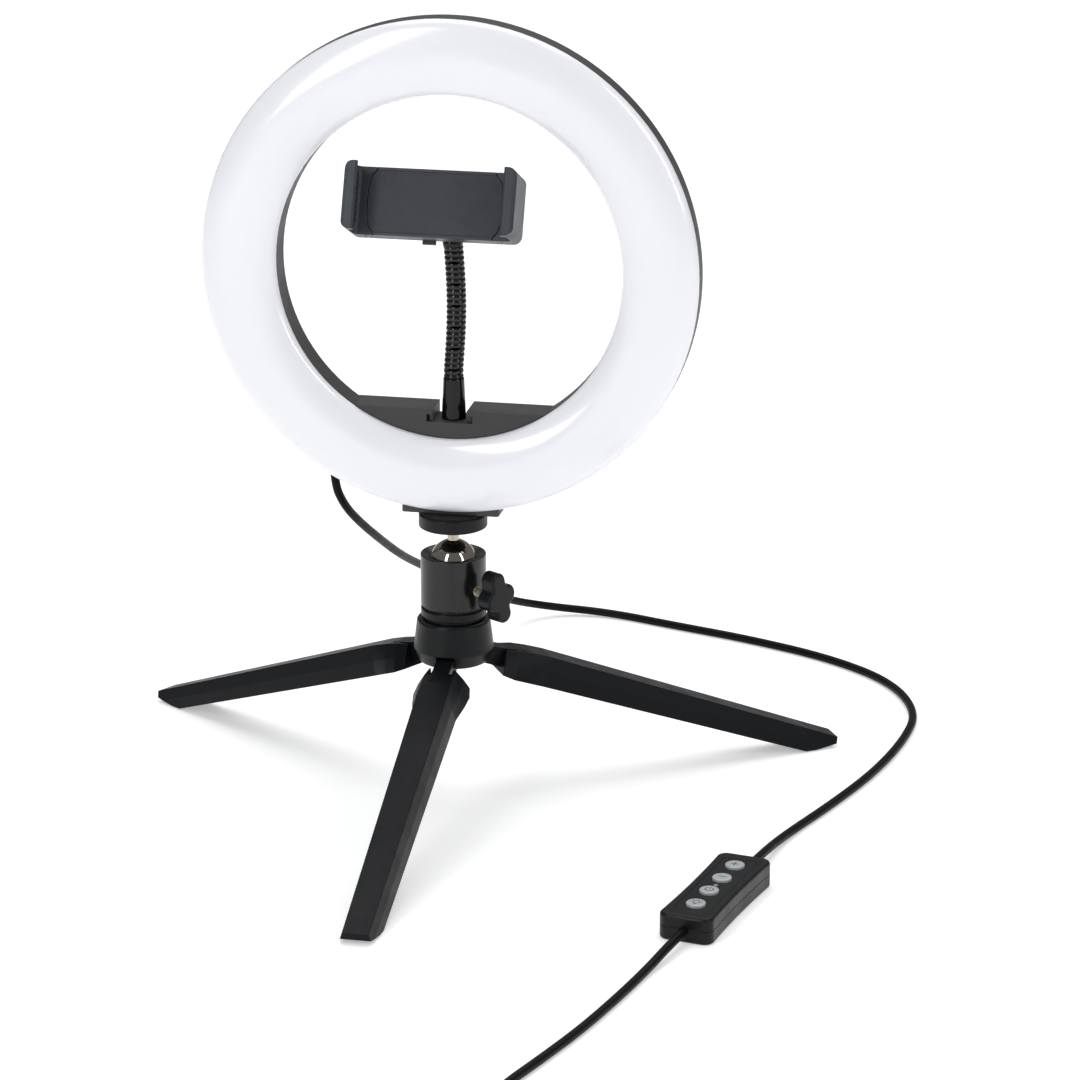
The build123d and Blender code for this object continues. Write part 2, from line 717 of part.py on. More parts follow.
def jaw(side):
    """One end of the clip: side is -1 for the left end and +1 for the right end."""
    end, lip, root_x = clip_width / 2, 13.6, tray_half
    with BuildPart() as piece:
        with BuildSketch(Plane(origin=clip_face, x_dir=(side, 0, 0), z_dir=clip_up * -side)):
            with BuildLine():
                Polyline(
                    (end, -clip_depth), (end, lip - 1.4), (end - 1.2, lip), (end - 4.4, lip),
                    (end - 5.2, lip - 1.0),
                    (end - 4.8, lip - 2.6), (end - 2.8, lip - 4.2), (end - 2.8, 1.4), (end - 4.2, 0),
                    (root_x, 0), (root_x, -clip_depth), close=True,
                )
            make_face()
        extrude(amount=clip_height / 2, both=True)
        outer = piece.edges().filter_by(Axis(clip_face, clip_out)).group_by(Axis.X)
        fillet(outer[0] if side < 0 else outer[-1], 3.5)
        # ears that reach over the corners of the tray
        for upper in (-1, 1):
            with BuildSketch(clip_plane(-panel_depth + 0.12)):
                with BuildLine():
                    Polyline(
                        *[(side * x, upper * y) for x, y in ear_outline], close=True,
                    )
                make_face()
            extrude(amount=panel_depth - 0.12)
        if side > 0:
            for place in rod_places:
                with BuildSketch(clip_side(root_x + 4.0)):
                    with Locations((rod_depth, place)):
                        Circle(1.3)
                extrude(amount=5.0, mode=Mode.SUBTRACT)
    return piece


jaw_left = jaw(-1)
save(jaw_left, "jaw_left")
jaw_right = jaw(1)
save(jaw_right, "jaw_right")


def jaw_pad(side):
    """Soft lining inside a jaw, with ribs across it."""
    inner = clip_width / 2 - 2.8
    with BuildPart() as piece:
        with BuildSketch(clip_side(side * inner)):
            with Locations((5.3, 0)):
                RectangleRounded(7.0, 21.0, 1.2)
        extrude(amount=side * 0.7)
        with BuildSketch(clip_side(side * (inner - 0.7))):
            with Locations((5.3, 0)):
                with GridLocations(0, 2.6, 1, 7):
                    RectangleRounded(6.0, 1.2, 0.5)
        extrude(amount=side * 0.4)
    return piece


pad_left = jaw_pad(-1)
save(pad_left, "jaw_pad_left")
pad_right = jaw_pad(1)
save(pad_right, "jaw_pad_right")

with BuildPart() as guide_rods:
    for place in rod_places:
        with BuildSketch(clip_side(tray_half + 4.0)):
            with Locations((rod_depth, place)):
                Circle(1.3)
        extrude(amount=41.0)
save(guide_rods, "guide_rods")

spring_radius, spring_wire, spring_pitch, spring_length = 2.0, 0.35, 3.0, 45.0
with BuildPart() as clip_spring:
    start = clip_side(tray_half - 1.0)
    middle = start.origin + clip_out * rod_depth
    with BuildLine() as winding:
        Helix(spring_pitch, spring_length, spring_radius, center=middle, direction=(-1, 0, 0))
    with BuildSketch(Plane(origin=winding.line @ 0, z_dir=winding.line % 0)):
        Circle(spring_wire)
    sweep(is_frenet=True)
save(clip_spring, "clip_spring")

with BuildPart() as clip_bracket:
    hub_x = -clip_shift
    with BuildSketch(clip_plane(-clip_depth)):
        with Locations((hub_x, -1.5)):
            RectangleRounded(26.0, 21.0, 3.0)
    extrude(amount=-1.8)
    with BuildSketch(clip_plane(-clip_depth)):
        with Locations((-2.8, -13.1)):
            Rectangle(5.2, 3.6)
    extrude(amount=-1.8)
    with BuildSketch(clip_plane(-clip_depth)):
        with Locations((hub_x, 0)):
            Circle(6.3)
    extrude(amount=clip_depth - face_to_ball)
    with Locations(clip_ball_center):
        Sphere(6.3)
    with BuildSketch(clip_plane(-clip_depth)):
        Rectangle(80, 60)
    extrude(amount=20, mode=Mode.SUBTRACT)
    with Locations(clip_ball_center):
        Sphere(clip_ball_radius + 0.07, mode=Mode.SUBTRACT)
    # mouth that the ball's stalk swings in
    mouth, mouth_floor = 4.2, 6.6
    mouth_half = mouth * tan(radians(58))
    with BuildSketch(Plane(origin=clip_ball_center, x_dir=(1, 0, 0), z_dir=(0, -1, 0))):
        with BuildLine():
            Polyline((0, 0), (mouth_half, -mouth), (mouth_half, -mouth_floor), (0, -mouth_floor), close=True)
        make_face()
    revolve(axis=Axis(clip_ball_center, (0, 0, 1)), mode=Mode.SUBTRACT)
save(clip_bracket, "clip_bracket")


# ---------------------------------------------------------------- remote
def remote_plane(height):
    """Plane parallel to the floor: local x across the remote, local y along it."""
    a = radians(remote_turn)
    return Plane(origin=(*remote_center, height), x_dir=(cos(a), sin(a), 0), z_dir=(0, 0, 1))


def remote_outline(inset=0.0):
    """Waisted plan of the remote."""
    w, waist, half = remote_width / 2 - inset, remote_waist / 2 - inset, remote_length / 2 - inset
    with BuildSketch() as outline:
        with BuildLine():
            ThreePointArc((-w, half), (-waist, 0), (-w, -half))
            Line((-w, -half), (w, -half))
            ThreePointArc((w, -half), (waist, 0), (w, half))
            Line((w, half), (-w, half))
        make_face()
        fillet(outline.vertices(), 4.0 - inset)
    return outline.sketch


parting, shell_wall = 5.6, 1.5
cord_height = 4.8
with BuildPart() as remote_base:
    with BuildSketch(remote_plane(0)):
        add(remote_outline())
    extrude(amount=parting - 0.1)
    fillet(remote_base.faces().sort_by(Axis.Z)[0].edges(), 1.2)
    with BuildSketch(remote_plane(shell_wall)):
        add(remote_outline(shell_wall))
    extrude(amount=parting, mode=Mode.SUBTRACT)
save(remote_base, "remote_base")

panel_size = (13.8, 56.5)
with BuildPart() as remote_cover:
    with BuildSketch(remote_plane(parting + 0.1)):
        add(remote_outline())
    extrude(amount=remote_thickness - parting - 0.1)
    fillet(remote_cover.faces().sort_by(Axis.Z)[-1].edges(), 1.4)
    with BuildSketch(remote_plane(parting)):
        add(remote_outline(shell_wall))
    extrude(amount=remote_thickness - parting - shell_wall, mode=Mode.SUBTRACT)
    with BuildSketch(remote_plane(remote_thickness - 0.5)):
        RectangleRounded(panel_size[0] + 0.2, panel_size[1] + 0.2, 1.6)
    extrude(amount=2, mode=Mode.SUBTRACT)
    with BuildSketch(remote_plane(parting)):
        for place in button_places.values():
            with Locations((0, place)):
                Circle(button_radius + 0.25)
        with Locations((0, indicator_place)):
            Circle(0.95)
    extrude(amount=remote_thickness, mode=Mode.SUBTRACT)
save(remote_cover, "remote_cover")

with BuildPart() as remote_panel:
    with BuildSketch(remote_plane(remote_thickness - 0.5)):
        RectangleRounded(*panel_size, 1.5)
        for place in button_places.values():
            with Locations((0, place)):
                Circle(button_radius + 0.25, mode=Mode.SUBTRACT)
        with Locations((0, indicator_place)):
            Circle(0.95, mode=Mode.SUBTRACT)
    extrude(amount=0.4)
save(remote_panel, "remote_panel")

board_low, board_high, switch_high = 3.8, 5.0, 6.2
with BuildPart() as remote_circuit:
    with BuildSketch(remote_plane(board_low)):
        RectangleRounded(13.4, 56.0, 1.0)
    extrude(amount=board_high - board_low)
    with BuildSketch(remote_plane(board_high)):
        for place in button_places.values():
            with Locations((0, place)):
                Rectangle(5.0, 5.0)
    extrude(amount=switch_high - board_high)
save(remote_circuit, "remote_circuit")

with BuildPart() as remote_indicator:
    with BuildSketch(remote_plane(board_high)):
        with Locations((0, indicator_place)):
            Circle(0.85)
    extrude(amount=remote_thickness - board_high)
save(remote_indicator, "remote_indicator")

button_top, button_low, press_travel = 11.8, 7.7, 0.6
for name, place in button_places.items():
    with BuildPart() as button:
        with BuildSketch(remote_plane(button_low)):
            with Locations((0, place)):
                Circle(button_radius)
        extrude(amount=button_top - button_low)
        fillet(button.faces().sort_by(Axis.Z)[-1].edges(), 0.5)
        with BuildSketch(remote_plane(button_low - 0.1)):
            with Locations((0, place)):
                Circle(button_radius + 0.8)
        extrude(amount=0.8)
        with BuildSketch(remote_plane(switch_high + press_travel + 0.05)):
            with Locations((0, place)):
                Circle(1.5)
        extrude(amount=1.0)
    save(button, f"button_{name}")


# ---------------------------------------------------------------- cord
def on_remote(across, along, height):
    return remote_plane(height).from_local_coords(Vector(across, along, 0))


floor_line = 1.8
far_end = on_remote(0, remote_length / 2, cord_height)
near_end = on_remote(0, -remote_length / 2, cord_height)

head_route = [
    Vector(*cord_exit),
    Vector(-52.0, 13.0, 124.0),
    Vector(-49.0, 18.0, 113.0),
    Vector(-45.5, 30.5, 102.0),
    Vector(-42.0, 55.0, 86.5),
    Vector(-41.0, 87.5, 69.5),
    Vector(-37.5, 124.0, 52.0),
    Vector(-29.5, 160.0, 34.0),
    Vector(-19.5, 195.0, 15.5),
    Vector(-4.5, 222.0, 4.0),
    Vector(23.5, 225.0, floor_line),
    Vector(54.5, 213.4, floor_line),
    Vector(91.0, 201.0, floor_line),
    Vector(130.0, 182.5, floor_line),
    Vector(160.0, 157.0, floor_line),
    Vector(175.0, 122.0, floor_line),
    Vector(174.0, 89.0, floor_line),
    Vector(166.5, 48.0, floor_line),
    Vector(154.0, 8.0, floor_line),
    Vector(140.0, -30.0, floor_line),
    on_remote(0, remote_length / 2 + 16, cord_height),
    far_end,
]
usb_route = [
    near_end,
    on_remote(0, -remote_length / 2 - 15, cord_height),
    Vector(109.6, -172.0, floor_line),
    Vector(103.6, -199.0, floor_line),
    Vector(95.6, -230.0, floor_line),
    Vector(86.4, -258.0, floor_line),
    Vector(77.2, -284.0, floor_line),
    Vector(72.4, -309.0, floor_line),
    Vector(71.0, -333.0, floor_line),
]
tail_route = [
    Vector(46.5, -361.5, 6.0),
    Vector(35.5, -361.6, 5.8),
    Vector(24.0, -361.0, 4.7),
    Vector(12.0, -361.0, 4.2),
]


def arc_radii(points, share=0.45):
    """Largest tangent arc at each inner point of a route."""
    radii = []
    for before, here, after in zip(points, points[1:], points[2:]):
        inward, outward = here - before, after - here
        turn = radians(inward.get_angle(outward))
        radii.append(share * min(inward.length, outward.length) / tan(turn / 2))
    return radii


def cord_tube(points, label):
    """Plain round tube of straight runs joined by tangent arcs."""
    radii = arc_radii(points)
    with BuildPart() as tube:
        with BuildLine() as path:
            FilletPolyline(*points, radius=radii)
        with BuildSketch(Plane(origin=points[0], z_dir=points[1] - points[0])):
            Circle(cord_radius)
        sweep()
    length = path.wires()[0].length
    runs = [(b - a).length for a, b in zip(points, points[1:])]
    print(label, "length", round(length, 1), "volume ratio",
          round(tube.part.volume / (length * pi * cord_radius**2), 4))
    print("  runs", [round(r, 1) for r in runs])
    print("  radii", [round(r, 1) for r in radii])
    save(tube, label)


cord_tube(head_route, "cord_head_lead")
cord_tube(usb_route, "cord_usb_lead")
cord_tube(tail_route, "cord_tail")

coil_middle = coil_lift + coil_section[1] / 2
with BuildPart() as cord_coil:
    with BuildSketch(Plane(origin=(*coil_center, 0), x_dir=(1, 0, 0), z_dir=(0, -1, 0))):
        with Locations((coil_mean_radius, coil_middle)):
            RectangleRounded(*coil_section, 1.7)
    revolve(axis=Axis((*coil_center, 0), (0, 0, 1)))
save(cord_coil, "cord_coil")

tie_angle, tie_width, tie_band = 140.0, 6.0, 0.5
with BuildPart() as coil_tie:
    a = radians(tie_angle)
    place = Vector(*coil_center, 0) + Vector(cos(a), sin(a), 0) * coil_mean_radius
    with BuildSketch(Plane(origin=place, x_dir=(cos(a), sin(a), 0), z_dir=(sin(a), -cos(a), 0))):
        with Locations((0, coil_middle)):
            Rectangle(coil_section[0] + 2 * tie_band + 0.8, coil_section[1] + 2 * tie_band + 0.2)
            Rectangle(coil_section[0] + 0.8, coil_section[1] + 0.2, mode=Mode.SUBTRACT)
    extrude(amount=tie_width / 2, both=True)
save(coil_tie, "coil_tie")

plug_end = tail_route[-1]


def plug_plane(distance):
    """Plane across the plug: local x across it, local y up, local z toward its tip."""
    return Plane(origin=(plug_end.X - distance, plug_end.Y, plug_end.Z), x_dir=(0, 1, 0), z_dir=(-1, 0, 0))


with BuildPart() as usb_overmould:
    with BuildSketch(plug_plane(0)):
        Circle(2.6)
    with BuildSketch(plug_plane(9.0)):
        Circle(3.4)
    loft()
    with BuildSketch(plug_plane(9.0)):
        RectangleRounded(15.4, 8.2, 2.0)
    extrude(amount=20.0)
save(usb_overmould, "usb_overmould")

with BuildPart() as usb_shell:
    with BuildSketch(plug_plane(29.0)):
        Rectangle(12.0, 4.5)
        with Locations((0, 0.75)):
            Rectangle(11.2, 2.3, mode=Mode.SUBTRACT)
    extrude(amount=12.0)
    with BuildSketch(plug_plane(29.0)):
        Rectangle(12.0, 4.5)
    extrude(amount=0.8)
save(usb_shell, "usb_shell")
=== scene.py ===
"""Looks of a desktop ring light: its finishes, cords, fine parts, light and camera.

Metres, in the frame of the CAD model: +Z up, the lit side of the ring faces -Y.
"""
from math import cos, pi, radians, sin

import bpy
from mathutils import Matrix, Vector


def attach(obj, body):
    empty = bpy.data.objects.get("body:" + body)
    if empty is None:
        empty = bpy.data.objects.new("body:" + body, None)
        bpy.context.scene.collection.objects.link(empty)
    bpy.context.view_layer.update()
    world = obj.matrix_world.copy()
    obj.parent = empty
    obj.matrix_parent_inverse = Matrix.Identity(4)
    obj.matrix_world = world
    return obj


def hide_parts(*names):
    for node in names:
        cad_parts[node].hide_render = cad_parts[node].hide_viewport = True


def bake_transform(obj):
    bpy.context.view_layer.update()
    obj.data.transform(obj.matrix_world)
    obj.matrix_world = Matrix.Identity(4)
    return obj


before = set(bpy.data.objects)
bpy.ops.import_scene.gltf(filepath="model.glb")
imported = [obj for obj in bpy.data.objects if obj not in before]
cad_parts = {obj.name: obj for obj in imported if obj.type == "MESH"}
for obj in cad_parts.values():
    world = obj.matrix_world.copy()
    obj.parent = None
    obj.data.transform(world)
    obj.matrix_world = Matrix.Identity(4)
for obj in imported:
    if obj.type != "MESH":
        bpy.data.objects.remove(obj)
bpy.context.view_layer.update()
MM = 0.001


# ---------------------------------------------------------------- camera
view_azimuth, view_elevation = radians(11.05), radians(18.13)
view_target = Vector((35.5, 0, 109.3)) * MM
view_distance = 1912.8 * MM
lens_mm, sensor_mm = 159.4, 36.0


def make_camera():
    away = Vector((
        sin(view_azimuth) * cos(view_elevation),
        -cos(view_azimuth) * cos(view_elevation),
        sin(view_elevation),
    ))
    data = bpy.data.cameras.new("camera")
    data.lens = lens_mm
    data.sensor_width = sensor_mm
    data.clip_start = 0.05
    camera = bpy.data.objects.new("camera", data)
    camera.location = view_target + away * view_distance
    camera.rotation_euler = (pi / 2 - view_elevation, 0, view_azimuth)
    bpy.context.scene.collection.objects.link(camera)
    bpy.context.scene.camera = camera


# ---------------------------------------------------------------- materials
def node_tree(name):
    """A new material with its shader, and a helper that adds a node with given settings."""
    material = bpy.data.materials.new(name)
    material.use_nodes = True
    tree = material.node_tree
    shader = tree.nodes["Principled BSDF"]

    def add(kind, inputs=(), **settings):
        node = tree.nodes.new("ShaderNode" + kind)
        for key, value in settings.items():
            setattr(node, key, value)
        for key, value in dict(inputs).items():
            if isinstance(value, bpy.types.NodeSocket):
                tree.links.new(value, node.inputs[key])
            else:
                node.inputs[key].default_value = value
        return node

    return material, tree, shader, add


def surface(
    name, color, roughness, grain=0.005, grain_size=0.4, rough_spread=0.06, tint_spread=0.12,
    edge=0.35, **shader_values,
):
    """Moulded or metal surface: fine grain, uneven gloss, faint clouding and rounded edges.

    grain is the depth of its texture, grain_size its width and edge the rounding of its edges,
    all in millimetres. The other values go straight to the shader's sockets.
    """
    material, tree, shader, add = node_tree(name)
    place = add("TexCoord").outputs["Object"]
    cloud = add("TexNoise", {"Vector": place, "Scale": 38.0, "Detail": 3.0})
    dark = [channel * (1 - tint_spread) for channel in color] + [1]
    light = [channel * (1 + tint_spread) for channel in color] + [1]
    tint = add("Mix", {"Factor": cloud.outputs["Fac"]}, data_type="RGBA")
    tint.inputs["A"].default_value = dark
    tint.inputs["B"].default_value = light
    tree.links.new(tint.outputs["Result"], shader.inputs["Base Color"])
    smear = add("TexNoise", {"Vector": place, "Scale": 110.0, "Detail": 4.0, "Roughness": 0.6})
    gloss = add("MapRange", {
        "Value": smear.outputs["Fac"],
        "From Min": 0.3, "From Max": 0.7,
        "To Min": roughness - rough_spread, "To Max": roughness + rough_spread,
    })
    tree.links.new(gloss.outputs["Result"], shader.inputs["Roughness"])
    pits = add("TexNoise", {"Vector": place, "Scale": 1 / (grain_size * MM), "Detail": 2.0})
    bump = add("Bump", {"Height": pits.outputs["Fac"], "Distance": grain * MM, "Strength": 0.7})
    if edge:
        rounding = add("Bevel", {"Radius": edge * MM}, samples=6)
        tree.links.new(rounding.outputs["Normal"], bump.inputs["Normal"])
    tree.links.new(bump.outputs["Normal"], shader.inputs["Normal"])
    for key, value in shader_values.items():
        shader.inputs[key.replace("_", " ")].default_value = value
    return material


def ribbed(material, direction, pitch, depth):
    """Adds straight ribs across a direction to a material's normal."""
    tree = material.node_tree
    shader = tree.nodes["Principled BSDF"]
    old = shader.inputs["Normal"].links[0].from_socket
    place = tree.nodes.new("ShaderNodeTexCoord").outputs["Object"]
    along = tree.nodes.new("ShaderNodeVectorMath")
    along.operation = "DOT_PRODUCT"
    along.inputs[1].default_value = direction
    tree.links.new(place, along.inputs[0])
    wave = tree.nodes.new("ShaderNodeMath")
    wave.operation = "SINE"
    turns = tree.nodes.new("ShaderNodeMath")
    turns.operation = "MULTIPLY"
    turns.inputs[1].default_value = 2 * pi / pitch
    tree.links.new(along.outputs["Value"], turns.inputs[0])
    tree.links.new(turns.outputs["Value"], wave.inputs[0])
    bump = tree.nodes.new("ShaderNodeBump")
    bump.inputs["Distance"].default_value = depth
    tree.links.new(wave.outputs["Value"], bump.inputs["Height"])
    tree.links.new(old, bump.inputs["Normal"])
    tree.links.new(bump.outputs["Normal"], shader.inputs["Normal"])
    return material


def milky_glowing(name):
    """Thick translucent white plastic with a smooth, glossy skin and a faint painted glow of its
    own.
    """
    material, tree, shader, add = node_tree(name)
    place = add("TexCoord").outputs["Object"]
    cloud = add("TexNoise", {"Vector": place, "Scale": 14.0, "Detail": 2.0})
    tint = add("Mix", {"Factor": cloud.outputs["Fac"]}, data_type="RGBA")
    tint.inputs["A"].default_value = (0.80, 0.80, 0.835, 1)
    tint.inputs["B"].default_value = (0.84, 0.84, 0.87, 1)
    tree.links.new(tint.outputs["Result"], shader.inputs["Base Color"])
    ripple = add("TexNoise", {"Vector": place, "Scale": 60.0, "Detail": 1.0})
    bump = add("Bump", {"Height": ripple.outputs["Fac"], "Distance": 0.02 * MM, "Strength": 0.5})
    tree.links.new(bump.outputs["Normal"], shader.inputs["Normal"])
    shader.inputs["Roughness"].default_value = 0.3
    shader.inputs["Subsurface Weight"].default_value = 0.6
    shader.inputs["Subsurface Radius"].default_value = (1.0, 0.95, 0.9)
    shader.inputs["Subsurface Scale"].default_value = 3 * MM
    shader.inputs["Coat Weight"].default_value = 1.0
    shader.inputs["Coat Roughness"].default_value = 0.10
    # Painted glow: the diffuser gives off a faint bluish light of its own to brighten it; the LEDs
    # behind it are not lit.
    shader.inputs["Emission Color"].default_value = (0.93, 0.93, 1.0, 1)
    shader.inputs["Emission Strength"].default_value = 0.10
    return material


dull = {"Specular_IOR_Level": 0.28}

finishes = {
    "satin": surface(
        "satin_black", (0.0042, 0.0048, 0.0058), 0.36, grain=0.02, grain_size=0.35, edge=0.45,
        Specular_IOR_Level=0.22),
    "leg": surface(
        "leg_black", (0.0030, 0.0036, 0.0048), 0.40, grain=0.03, grain_size=0.5, edge=0.7,
        Specular_IOR_Level=0.15),
    "cup": surface(
        "cup_black", (0.0060, 0.0063, 0.0070), 0.25, grain=0.006, grain_size=0.5, edge=0.0,
        Specular_IOR_Level=0.42),
    "rubber": surface("rubber", (0.008, 0.008, 0.0085), 0.75, grain=0.05, grain_size=0.6, **dull),
    "housing": surface(
        "housing_grey", (0.052, 0.052, 0.049), 0.52, grain=0.05, grain_size=0.45, edge=0.5, **dull),
    "cover": surface(
        "shelf_grey", (0.046, 0.046, 0.047), 0.5, grain=0.05, grain_size=0.4, **dull),
    "chrome": surface(
        "chrome", (0.42, 0.385, 0.31), 0.06, rough_spread=0.03, tint_spread=0.05, edge=0.0,
        Metallic=1.0),
    "steel": surface("steel", (0.50, 0.50, 0.49), 0.28, grain=0.01, edge=0.1, Metallic=1.0),
    "brass": surface("brass", (0.66, 0.57, 0.40), 0.22, grain=0.01, edge=0.1, Metallic=1.0),
    "nylon": surface("nylon", (0.62, 0.60, 0.54), 0.55, grain=0.02, edge=0.3),
    "board": surface("board_white", (0.72, 0.73, 0.72), 0.45, grain=0.01, edge=0.1),
    "phosphor": surface("phosphor", (0.80, 0.60, 0.14), 0.4, grain=0.01, edge=0.1),
    "gloss": surface(
        "gloss_black", (0.003, 0.003, 0.0034), 0.14, rough_spread=0.04, edge=0.4,
        Specular_IOR_Level=0.3),
    "hose": surface(
        "hose_black", (0.0025, 0.0025, 0.0030), 0.20, rough_spread=0.06, grain=0.004, edge=0.0),
    "clip": surface(
        "clip_grey", (0.042, 0.047, 0.056), 0.40, grain=0.03, grain_size=0.35, edge=0.5, **dull),
    "panel": surface(
        "clip_panel", (0.046, 0.050, 0.056), 0.60, grain=0.22, grain_size=0.7, edge=0.2, **dull),
    "remote": surface(
        "remote_black", (0.0040, 0.0043, 0.0048), 0.36, grain=0.03, grain_size=0.35, edge=0.5,
        Specular_IOR_Level=0.22),
    "remote_panel": surface(
        "remote_panel", (0.0060, 0.0063, 0.0070), 0.45, grain=0.05, grain_size=0.4, edge=0.1,
        Specular_IOR_Level=0.2),
    "silver": surface(
        "button_silver", (0.47, 0.50, 0.51), 0.30, grain=0.02, grain_size=0.3, edge=0.3,
        Metallic=0.15),
    "ink": surface("ink", (0.02, 0.022, 0.024), 0.5, grain=0.01, edge=0.0),
    "lamp": surface("indicator", (0.50, 0.53, 0.56), 0.2, edge=0.2, Transmission_Weight=0.3),
    "cord": surface(
        "cord_black", (0.0035, 0.0033, 0.0035), 0.46, grain=0.02, grain_size=0.7,
        rough_spread=0.08, edge=0.0, Specular_IOR_Level=0.12),
    "tie": surface("tie_black", (0.02, 0.02, 0.02), 0.7, grain=0.06, grain_size=0.5, edge=0.1),
    "milky_glowing": milky_glowing("diffuser_white"),
}

clip_lean, knob_azimuth = radians(24), radians(58)
up_clip = Vector((0, sin(clip_lean), cos(clip_lean)))
knob_axis = Vector((sin(knob_azimuth), -cos(knob_azimuth), 0))
lining_pitch, lining_depth = 2.6 * MM, 0.2 * MM
thread_pitch, thread_depth = 1.0 * MM, 0.25 * MM
finishes["lining"] = ribbed(
    surface("jaw_lining", (0.034, 0.038, 0.044), 0.55, grain=0.03, edge=0.2, **dull),
    up_clip, lining_pitch, lining_depth)
finishes["thread"] = ribbed(
    surface("screw_thread", (0.62, 0.56, 0.44), 0.2, edge=0.0, Metallic=1.0),
    knob_axis, thread_pitch, thread_depth)

node_finish = {
    "satin": ["hub", "base_flange", "wing_knob", "platform_disc"],
    "leg": ["leg_front", "leg_right", "leg_left"],
    "cup": ["cup"],
    "rubber": ["foot_pad_front", "foot_pad_right", "foot_pad_left", "platform_pad", "cord_gland"],
    "housing": ["rear_housing"],
    "cover": ["shelf_cover"],
    "chrome": ["ball", "ball_stud"],
    "steel": [
        "leg_pins", "center_bolt", "housing_screws", "guide_rods", "clip_spring", "usb_shell"],
    "brass": ["threaded_insert"],
    "thread": ["clamp_screw"],
    "nylon": ["ball_seat"],
    "board": ["led_board", "remote_circuit"],
    "phosphor": ["leds"],
    "milky_glowing": ["diffuser"],
    "gloss": ["ferrule", "clip_ball"],
    "clip": ["clip_tray", "jaw_left", "jaw_right", "clip_bracket"],
    "panel": ["clip_panel"],
    "lining": ["jaw_pad_left", "jaw_pad_right"],
    "remote": ["remote_base", "remote_cover"],
    "remote_panel": ["remote_panel"],
    "lamp": ["remote_indicator"],
    "silver": ["button_plus", "button_minus", "button_power", "button_mode"],
    "cord": ["cord_head_lead", "cord_usb_lead", "cord_tail", "cord_coil", "usb_overmould"],
    "tie": ["coil_tie"],
}


def paint(obj, finish):
    obj.data.materials.clear()
    obj.data.materials.append(finishes[finish])


def paint_nodes():
    for finish, nodes in node_finish.items():
        for node in nodes:
            paint(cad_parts[node], finish)


# ---------------------------------------------------------------- shapes
def mesh_object(name, vertices, faces, finish, smooth=True):
    mesh = bpy.data.meshes.new(name)
    mesh.from_pydata([tuple(v) for v in vertices], [], faces)
    mesh.update()
    for polygon in mesh.polygons:
        polygon.use_smooth = smooth
    obj = bpy.data.objects.new(name, mesh)
    bpy.context.scene.collection.objects.link(obj)
    paint(obj, finish)
    return obj


def round_rings(line, radius, sides=20):
    """Rings of points round a line."""
    rings, side = [], None
    for i, point in enumerate(line):
        heading = (line[min(i + 1, len(line) - 1)] - line[max(i - 1, 0)]).normalized()
        if side is None:
            side = heading.orthogonal()
        side = (side - heading * side.dot(heading)).normalized()
        up = heading.cross(side)
        angles = [2 * pi * k / sides for k in range(sides)]
        rings.append([point + (side * cos(a) + up * sin(a)) * radius for a in angles])
    return rings


def skin(name, rings, finish, first_cap=False, last_cap=False):
    """One mesh over rings of equal length."""
    size = len(rings[0])
    faces = []
    for i in range(len(rings) - 1):
        a, b = i * size, (i + 1) * size
        faces += [(a + k, a + (k + 1) % size, b + (k + 1) % size, b + k) for k in range(size)]
    if first_cap:
        faces.append(tuple(reversed(range(size))))
    if last_cap:
        faces.append(tuple(range((len(rings) - 1) * size, len(rings) * size)))
    return mesh_object(name, [v for ring in rings for v in ring], faces, finish)


def level_ring(middle, radius, sides):
    """A ring of points round a middle point, parallel to the floor."""
    angles = [2 * pi * k / sides for k in range(sides)]
    return [middle + Vector((cos(a), sin(a), 0)) * radius for a in angles]


# ---------------------------------------------------------------- cords
cord_radius = 1.75 * MM
cord_exit = Vector((-52.0, 13.0, 136.0)) * MM
remote_center, remote_turn = Vector((124.9, -107.6, 0)) * MM, radians(-11.8)
remote_length, cord_height = 67.7 * MM, 4.8 * MM
coil_center = Vector((46.5, -337.0, 0)) * MM
stretch_ends = (0.045, 0.09, 0.18)  # metres along the lead from the light


def on_remote(across, along, height):
    """A point given across and along the remote."""
    turned = Matrix.Rotation(remote_turn, 3, "Z") @ Vector((across, along, 0))
    return remote_center + turned + Vector((0, 0, height))


def in_metres(points):
    return [Vector(p) * MM for p in points]


head_route = [
    cord_exit,
    *in_metres([
        (-52.0, 13.0, 124.0), (-49.0, 18.0, 113.0), (-45.5, 30.5, 102.0), (-42.0, 55.0, 86.5),
        (-41.0, 87.5, 69.5), (-37.5, 124.0, 52.0), (-29.5, 160.0, 34.0), (-19.5, 195.0, 15.5),
        (-4.5, 222.0, 4.0), (23.5, 225.0, 1.8), (54.5, 213.4, 1.8), (91.0, 201.0, 1.8),
        (130.0, 182.5, 1.8), (160.0, 157.0, 1.8), (175.0, 122.0, 1.8), (174.0, 89.0, 1.8),
        (166.5, 48.0, 1.8), (154.0, 8.0, 1.8), (140.0, -30.0, 1.8),
    ]),
    on_remote(0, remote_length / 2 + 16 * MM, cord_height),
    on_remote(0, remote_length / 2, cord_height),
]
usb_route = [
    on_remote(0, -remote_length / 2, cord_height),
    on_remote(0, -remote_length / 2 - 15 * MM, cord_height),
    *in_metres([
        (109.6, -172.0, 1.8), (103.6, -199.0, 1.8), (95.6, -230.0, 1.8), (86.4, -258.0, 1.8),
        (77.2, -284.0, 1.8), (72.4, -309.0, 1.8),
    ]),
]
tail_route = in_metres([(35.5, -361.6, 5.8), (24.0, -361.0, 4.7), (12.0, -361.0, 4.2)])


